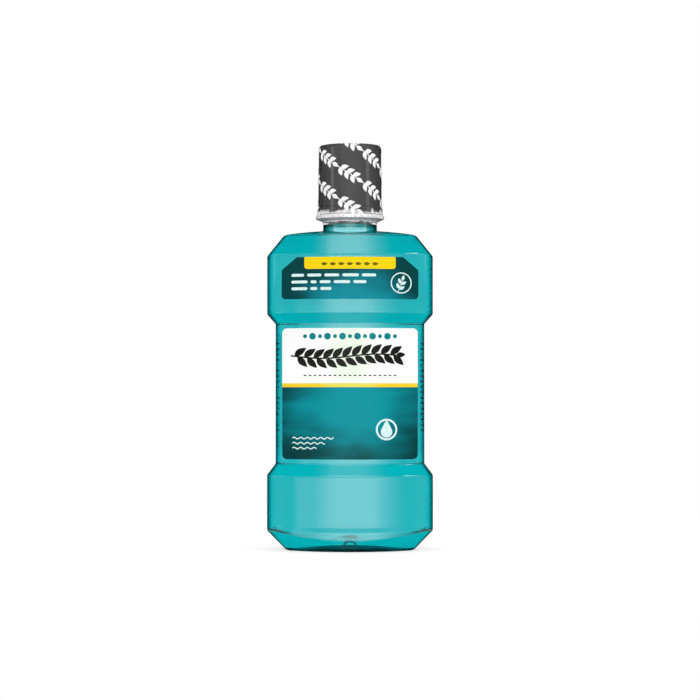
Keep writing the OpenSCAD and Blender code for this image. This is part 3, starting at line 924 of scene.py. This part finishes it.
def make_bottle():
    """The wall as one closed skin, whose inner side has the plain plastic."""
    outside = body_rings(0)[:-1] + neck_outside()
    inside = neck_inside() + body_rings(WALL_T)[::-1]
    obj = skin("bottle_wall", outside + inside)
    finish_piece(obj, "bottle_body", "clear_pet", clear_pet("clear_pet", BODY_EDGE_SHADE), "bottle")
    obj.data.materials.append(clear_pet("clear_pet_neck", NECK_EDGE_SHADE, FILL_Z))
    obj.data.materials.append(clear_pet("clear_pet_inside"))
    obj.data.materials.append(clear_pet("clear_pet_foot", UNDERSIDE_SHADE))
    body, neck, inner, foot = range(4)
    foot_end = (len(BOSS_PROFILE) + PUSH_UP_STEPS) * len(NORMALS)
    neck_start = (len(body_rings(0)) - 1) * len(NORMALS)
    rim = len(outside) * len(NORMALS)
    for face in obj.data.polygons:
        first = min(face.vertices)
        if first < foot_end:
            face.material_index = foot
        elif first < neck_start:
            face.material_index = body
        elif first < rim:
            face.material_index = neck
        else:
            face.material_index = inner


def make_liquid():
    """The liquid, sunk a little into the wall, up to its level in the neck."""
    rings = body_rings(WALL_T - FILL_SUNK)
    r = NECK_BORE_R + FILL_SUNK
    path = rounded([(r, NECK_Z, 0), (r, FILL_Z, 0.3), (r * 0.3, FILL_Z - 0.05, 0)], 0.1)
    obj = skin("mouthwash_liquid", rings + [circle(p.y, p.x) for p in path])
    finish_piece(obj, "bottle_body", "teal_liquid", teal_liquid(), "mouthwash")


def make_cap():
    """The cap as one turned solid, open below, with the ledge that holds the insert down."""
    bore_r = CAP_TOP_R - CAP_T
    ledge_r = bore_r - LEDGE_W
    hub_r = 2.0
    top = CAP_Z + CAP_H
    inside = top - CAP_TOP_T
    path = [(hub_r, top)] + cap_path(0)[::-1] + [
        (bore_r, CAP_Z), (bore_r, LEDGE_Z), (ledge_r, LEDGE_Z), (ledge_r, inside - 0.9),
        (ledge_r - 0.3, inside - 0.3), (ledge_r - 0.9, inside), (hub_r, inside)]
    obj = skin("dosing_cap", turned_rings(path, CAP_STEPS))
    keep_sharp(obj)
    finish_piece(obj, "cap_body", "dark_grey_plastic", dark_grey_plastic(), "cap_shell")


def make_sleeve(wave):
    """The shrink film over the cap, drawn tight, with small puckers near its lower end."""
    def shift(angle, z):
        return (PUCKER * max(0.0, 1 - (z - CAP_Z) / PUCKER_H) * wave(angle), 0.0)

    lap_r = CAP_TOP_R - CAP_ROUND - FILM_LAP
    top = CAP_Z + CAP_H + FILM_GAP
    outer = cap_path(FILM_GAP + FILM_T)
    inner = cap_path(FILM_GAP)
    for side in (outer, inner):
        side[0] = (side[0][0], CAP_Z + TEAR_W)
    path = outer + [(lap_r, top + FILM_T), (lap_r, top)] + inner[::-1]
    obj = skin("cap_film", turned_rings(path, FILM_STEPS, shift), close_ends=False)
    keep_sharp(obj)
    film = clear_film("clear_film", CAP_Z + 0.6, CAP_Z + 2.4, 0.01, 0.8)
    finish_piece(obj, "cap_body", "clear_film", film, "cap_sleeve")


def make_band(wave):
    """The film's lower end, shrunk round the support ring, with a wavy lower lip."""
    low_z = RING_SLOPE_Z - FILM_SKIRT_H

    def shift(angle, z):
        lip = max(0.0, 1 - (z - low_z) / LIP_H)
        height = wave(angle + BAND_TURN)
        return (SWELL * max(0.0, height) * (1 - lip), LIP_WAVE * lip * height)

    g, t = FILM_GAP, FILM_T
    path = [(NECK_R + g + t, low_z), (NECK_R + g + t, RING_SLOPE_Z - g - t),
            (RING_R + g + t, RING_LOW_Z - g - t), (RING_R + g + t, RING_Z + g),
            (CAP_BAND_R + g + t, CAP_Z), (CAP_BAND_R + g, CAP_Z), (RING_R + g, RING_Z + g - t / 2),
            (RING_R + g, RING_LOW_Z - g), (NECK_R + g, RING_SLOPE_Z - g), (NECK_R + g, low_z)]
    obj = skin("neck_film", turned_rings(path, FILM_STEPS, shift), close_ends=False)
    keep_sharp(obj)
    film = clear_film("clear_film_neck", RING_Z + 3.0, RING_Z + 4.0, 0.1, 0.95)
    finish_piece(obj, "film_ring", "clear_film", film, "neck_band")


def seeded_wave(seed, low, high, terms=9):
    """A smooth closed wave round the axis, between about -1 and 1."""
    source = random.Random(seed)
    parts = [(source.randint(low, high), source.uniform(0, math.tau), source.uniform(0.4, 1))
             for _ in range(terms)]
    total = sum(p[2] for p in parts) * 0.5

    def wave(angle):
        return sum(s * math.sin(n * angle + p) for n, p, s in parts) / total
    return wave


def make_cap_print():
    """White sprigs printed round the film, in slanting rows."""
    place = on_cap(FILM_GAP + FILM_T)
    girth = math.tau * CAP_TOP_R
    outlines = []
    columns, rows = 4, 5
    for c in range(columns):
        for r in range(rows):
            u = girth * (c + 0.5 * (r % 2)) / columns - girth / 2
            outlines += sprig(u, 4.0 + 8.4 * r, 15.0, -33, 3)
    obj = wrapped("cap_print", outlines, place, INK_T, 1.0)
    finish_piece(obj, "cap_body", "clear_film", white_ink())


def print_on(name, outlines, place, slot, material):
    """Ink on one of the bottle's labels."""
    finish_piece(wrapped(name, outlines, place, INK_T), "bottle_body", slot, material)


def make_front_label():
    """Bubbles, a branch and stitches above the stripe, a badge and wavy lines below it."""
    obj = wrapped("front_label_film", [panel_outline(**FRONT_LABEL)],
                  on_wall(PANEL_INSET, LABEL_GAP), LABEL_T)
    finish_piece(obj, "bottle_body", "front_print", printed_label("front_print", front_paint),
                 "front_label")
    place = on_wall(PANEL_INSET, LABEL_GAP + LABEL_T)
    print_on("label_branch", long_branch(), place, "front_print", dark_ink())
    stitches = [bar(2.6 * k, STITCH_Z, 1.5, 0.6) for k in range(-9, 10)]
    print_on("label_stitches", stitches, place, "front_print", dark_ink())
    bubbles = [disc(3.9 * k, BUBBLE_Z, 1.75 if k % 2 else 1.05) for k in range(-6, 7)]
    teal = ink("teal_ink", rgb(0, 120, 128), rgb(16, 138, 142))
    print_on("label_bubbles", bubbles, place, "front_print", teal)
    pale = hoop(BADGE_X, BADGE_Z, 5.6, 1.0) + [drop(BADGE_X, BADGE_Z - 1.2, 3.0)]
    for k in range(3):
        line = [(-30.0 + 0.5 * i, WAVES_Z - 2.6 * k + 0.45 * math.sin(i * 0.9))
                for i in range(44 - 9 * k)]
        pale.append(band_along(line, 0.55))
    print_on("label_badge", pale, place, "front_print", pale_ink())


def make_back_label():
    """A clear label with white print on it."""
    place = on_wall(PANEL_INSET, LABEL_GAP, back=True)
    obj = wrapped("back_label_film", [panel_outline(**BACK_LABEL)], place, LABEL_T)
    film = clear_film("clear_label", BACK_LABEL["z"] - 20, BACK_LABEL["z"] - 10, 0.06, 0.1)
    finish_piece(obj, "bottle_body", "back_print", film, "back_label")
    outlines = []
    lengths = random.Random(12)
    for k in range(17):
        end = 29.0 if k % 5 != 4 else 4.0
        outlines += dashes(lengths, -29.0, end, BACK_LINES_Z - 2.9 * k, 0.9)
    outlines += hoop(BACK_BADGE_X, BACK_BADGE_Z, 4.0, 0.6)
    outlines += [drop(BACK_BADGE_X, BACK_BADGE_Z - 0.9, 2.0)]
    on_label = on_wall(PANEL_INSET, LABEL_GAP + LABEL_T, back=True)
    print_on("back_label_print", outlines, on_label, "back_print", white_ink())


def make_shoulder_label():
    """A dark label with a yellow tab of leaves, strokes and a sprig in a hoop."""
    obj = wrapped("shoulder_label_film", [cut_outline(**SHOULDER_LABEL)],
                  on_wall(0, LABEL_GAP), LABEL_T)
    finish_piece(obj, "bottle_body", "shoulder_print",
                 printed_label("shoulder_print", shoulder_paint), "shoulder_label")
    on_label = on_wall(0, LABEL_GAP + LABEL_T)
    yellow = ink("yellow_ink", rgb(253, 211, 9), rgb(244, 208, 16), 0.2)
    print_on("shoulder_tab", [tab_outline(**TAB)], on_label, "shoulder_print", yellow)
    leaves = [leaf(4.4 * k - 1.7, LEAVES_Z, 3.4, 1.7, 0) for k in range(-3, 4)]
    olive = ink("olive_ink", rgb(96, 88, 14), rgb(110, 98, 12))
    print_on("tab_leaves", leaves, on_wall(0, LABEL_GAP + LABEL_T + INK_T), "shoulder_print", olive)
    outlines = hoop(MARK_X, MARK_Z, 5.5, 0.6) + sprig(MARK_X, MARK_Z - 0.2, 8.0, 70, 2)
    lengths = random.Random(5)
    for k, end in enumerate((16.0, 10.0, -8.0)):
        outlines += dashes(lengths, -30.5, end, LINES_Z - 3.5 * k, 1.5)
    print_on("shoulder_marks", outlines, on_label, "shoulder_print", pale_ink())


# Stage, light and camera

FILL_LEVEL = 0.95
# Half-sizes of the bottle's footprint, where the floor gets painted shadow
FOOT_W, FOOT_D = 35.0, 25.3
FLOOR_SIZE, FLOOR_STEPS, FLOOR_DROP = 6000.0, 24, 0.1
LAMP_AIM = Vector((0, 0, 0.1))
EYE_Z, EYE_Y = 81.4, -1200.0
AIM_Z = 105.3
VIEW_ANGLE = math.radians(17.58)


def make_camera():
    data = bpy.data.cameras.new("camera")
    data.sensor_fit = "HORIZONTAL"
    data.angle = VIEW_ANGLE
    camera = new_object("camera", data)
    eye = Vector((0, EYE_Y, EYE_Z)) * MM
    aim = Vector((0, 0, AIM_Z)) * MM
    camera.location = eye
    camera.rotation_euler = (aim - eye).to_track_quat("-Z", "Y").to_euler()
    bpy.context.scene.camera = camera


def area_lamp(name, azimuth, elevation, distance, width, height, radiance, in_gloss=False):
    """A softbox that faces the bottle; azimuth 0 is in front of it, to the right positive.

    Its distance, width and height are metres. Most softboxes only light what is matt, because the
    world holds what gloss reflects.
    """
    data = bpy.data.lights.new(name, "AREA")
    data.shape = "RECTANGLE"
    data.size, data.size_y = width, height
    data.energy = radiance * math.pi * width * height
    lamp = new_object(name, data)
    a, e = math.radians(azimuth), math.radians(elevation)
    way = Vector((math.sin(a) * math.cos(e), -math.cos(a) * math.cos(e), math.sin(e)))
    lamp.location = LAMP_AIM + way * distance
    lamp.rotation_euler = (-way).to_track_quat("-Z", "Y").to_euler()
    lamp.visible_camera = False
    lamp.visible_transmission = False
    lamp.visible_glossy = in_gloss


def make_floor():
    """A pale floor that turns into the white ground away from the bottle."""
    row = FLOOR_STEPS + 1
    points = [(FLOOR_SIZE * (i / FLOOR_STEPS - 0.5), FLOOR_SIZE * (j / FLOOR_STEPS - 0.5),
               -FLOOR_DROP) for j in range(row) for i in range(row)]
    faces = [(j * row + i, j * row + i + 1, (j + 1) * row + i + 1, (j + 1) * row + i)
             for j in range(FLOOR_STEPS) for i in range(FLOOR_STEPS)]
    floor = to_mesh("floor", points, faces)
    material, tree, shader = new_material("pale_floor")
    _, axes = object_place(tree)
    plain = map_range(tree, hypotenuse(tree, axes["X"], axes["Y"]), 120.0, 450.0)
    # Painted shadow: under the bottle's footprint the floor's glow falls almost to nothing.
    under = hypotenuse(tree, relative(tree, axes["X"], 0.0, FOOT_W),
                       relative(tree, axes["Y"], 0.0, FOOT_D))
    outside_painted_shadow = map_range(tree, under, 0.85, 1.05, 0.04, 1.0)
    shader.inputs["Roughness"].default_value = 0.9
    shader.inputs["Specular IOR Level"].default_value = 0.0
    path = add(tree, "ShaderNodeLightPath").outputs
    seen = math_node(tree, "MAXIMUM", path["Is Camera Ray"], math_node(
        tree, "MAXIMUM", path["Is Glossy Ray"], path["Is Transmission Ray"]))
    tree.links.new(mix_colours(tree, plain, (0.28, 0.28, 0.28, 1), (0, 0, 0, 1)),
                   shader.inputs["Base Color"])
    shader.inputs["Emission Color"].default_value = (1, 1, 1, 1)
    glow = map_range(tree, plain, 0.0, 1.0, 0.75, 1.0, smooth=False)
    glow = math_node(tree, "MULTIPLY", glow, outside_painted_shadow)
    tree.links.new(math_node(tree, "MULTIPLY", glow, map_range(tree, seen, 0, 1, 0.85, 1.0)),
                   shader.inputs["Emission Strength"])
    floor.data.materials.append(material)
    floor.visible_glossy = False


# What gloss reflects, by tangent of the azimuth and of the elevation of a mirroring wall's normal:
# a tall softbox with a weaker one beside it, upright strips at both sides and a pale room
SOFTBOX_RADIANCE, STRIP_RADIANCE, CAP_STRIP_RADIANCE, ROOM_RADIANCE = 3.1, 0.65, 1.6, 0.4
REAR_RADIANCE = 0.9
LOW_ACROSS = ((-0.42, 0.0), (-0.36, 0.33), (-0.24, 0.35), (-0.134, 0.82), (-0.07, 1.0),
              (0.147, 1.0), (0.2, 0.68), (0.274, 0.32), (0.36, 0.05), (0.42, 0.0))
HIGH_ACROSS = ((-0.27, 0.0), (-0.208, 0.17), (-0.17, 0.4), (-0.12, 0.86), (-0.06, 1.0),
               (0.06, 1.0), (0.11, 0.81), (0.18, 0.38), (0.25, 0.09), (0.31, 0.0))
STRIP_ACROSS = ((-0.6, 0.0), (-0.56, 1.0), (-0.52, 1.0), (-0.48, 0.0),
                (0.48, 0.0), (0.52, 1.0), (0.56, 1.0), (0.6, 0.0))
CAP_ACROSS = ((-0.8, 0.0), (-0.71, 1.0), (-0.65, 1.0), (-0.56, 0.0), (-0.3, 0.12),
              (0.3, 0.12), (0.56, 0.0), (0.65, 0.9), (0.71, 0.9), (0.8, 0.0))
ROOM_ACROSS = ((-1.9, 0.0), (-1.2, 0.35), (-0.55, 1.0), (0.55, 1.0), (1.2, 0.35), (1.9, 0.0))
SOFTBOX_UP = ((-0.95, 0.0), (-0.865, 0.2), (-0.3, 0.27), (-0.2, 1.0), (0.64, 1.0), (0.7, 0.35),
              (0.76, 0.35), (0.84, 1.0), (1.6, 0.8), (1.95, 0.0))
LOW_UP = ((-0.5, 0.0), (-0.25, 1.0), (-0.02, 1.0), (0.02, 0.35), (0.15, 0.3), (0.4, 0.0))
STRIP_UP = ((-0.5, 0.0), (-0.3, 0.8), (-0.1, 0.8), (-0.04, 0.1), (0.06, 0.1), (0.12, 1.0),
            (0.4, 1.0), (0.6, 0.0))
ROOM_UP = ((-0.6, 0.0), (-0.3, 1.0), (0.25, 1.0), (0.45, 0.0))
GAP_UP = ((0.0345, 0.0), (0.0375, 1.0), (0.12, 1.0), (0.3, 0.0))
RAMP_REACH = 2.0


def ramp(tree, value, points):
    """Straight lines between (place, level) points, for places within RAMP_REACH of zero."""
    reached = map_range(tree, value, -RAMP_REACH, RAMP_REACH, smooth=False)
    return colour_ramp(tree, reached, [
        ((place + RAMP_REACH) / (2 * RAMP_REACH), (level, level, level, 1))
        for place, level in points])


def reflected_room(tree, way):
    """Brightness that gloss sees in each direction."""
    def times(a, b):
        return math_node(tree, "MULTIPLY", a, b)

    def plus(a, b):
        return math_node(tree, "ADD", a, b)

    back = math_node(tree, "MAXIMUM", math_node(tree, "SUBTRACT", 1.0, way["Y"]), 0.001)
    across = math_node(tree, "DIVIDE", way["X"], back)
    up = math_node(tree, "DIVIDE", way["Z"], back)
    gap = ramp(tree, up, GAP_UP)
    low = ramp(tree, up, LOW_UP)
    profile = map_range(tree, low, 0.0, 1.0, ramp(tree, across, HIGH_ACROSS),
                        ramp(tree, across, LOW_ACROSS), smooth=False)
    softbox = times(times(profile, ramp(tree, up, SOFTBOX_UP)),
                    map_range(tree, gap, 0.0, 1.0, SOFTBOX_RADIANCE, 0.1, smooth=False))
    strips = times(times(ramp(tree, across, STRIP_ACROSS), ramp(tree, up, STRIP_UP)),
                   map_range(tree, gap, 0.0, 1.0, STRIP_RADIANCE, 0.0, smooth=False))
    on_cap = times(times(ramp(tree, across, CAP_ACROSS), gap), CAP_STRIP_RADIANCE)
    room = times(times(ramp(tree, up, ROOM_UP), ramp(tree, across, ROOM_ACROSS)), ROOM_RADIANCE)
    rear = map_range(tree, way["Y"], math.cos(math.radians(9)), math.cos(math.radians(3)))
    return plus(plus(plus(softbox, strips), plus(room, on_cap)), times(rear, REAR_RADIANCE))


def make_world():
    """White ground for camera and glass, a room for reflections and plain fill light."""
    world = bpy.data.worlds.new("studio")
    bpy.context.scene.world = world
    world.use_nodes = True
    world.cycles.sampling_method = "NONE"
    tree = world.node_tree
    background = tree.nodes["Background"]
    way = add(tree, "ShaderNodeSeparateXYZ", {
        0: add(tree, "ShaderNodeTexCoord").outputs["Generated"]}).outputs
    path = add(tree, "ShaderNodeLightPath").outputs
    white = math_node(tree, "MAXIMUM", path["Is Camera Ray"], path["Is Transmission Ray"])
    by_gloss = map_range(tree, path["Is Glossy Ray"], 0, 1, FILL_LEVEL, reflected_room(tree, way),
                         smooth=False)
    strength = map_range(tree, white, 0, 1, by_gloss, 1.0, smooth=False)
    tree.links.new(strength, background.inputs["Strength"])
    background.inputs["Color"].default_value = (1, 1, 1, 1)


def make_lamps():
    """Softboxes in front, at both sides and above, and a small key light on the right."""
    area_lamp("softbox_front", 4.6, 3.0, 3.4, 1.5, 2.6, 1.9)
    area_lamp("softbox_left", -64, 12, 2.4, 0.5, 1.6, 0.6)
    area_lamp("softbox_right", 64, 12, 2.4, 0.5, 1.6, 0.6)
    area_lamp("key", 61, 44, 2.2, 0.45, 0.45, 6.0, in_gloss=True)
    area_lamp("softbox_over", 0, 80, 2.0, 1.3, 0.9, 1.4)


make_bottle()
make_liquid()
make_cap()
make_sleeve(seeded_wave(4, 9, 40))
make_band(seeded_wave(9, 7, 30))
make_cap_print()
make_front_label()
make_back_label()
make_shoulder_label()
make_floor()
make_world()
make_lamps()
make_camera()
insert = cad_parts["thread_insert"]
insert.data.materials.clear()
insert.data.materials.append(natural_plastic())

BOUNCES = 24
bpy.context.scene.cycles.max_bounces = BOUNCES
bpy.context.scene.cycles.transmission_bounces = BOUNCES
view = bpy.context.scene.view_settings
view.view_transform = "Standard"
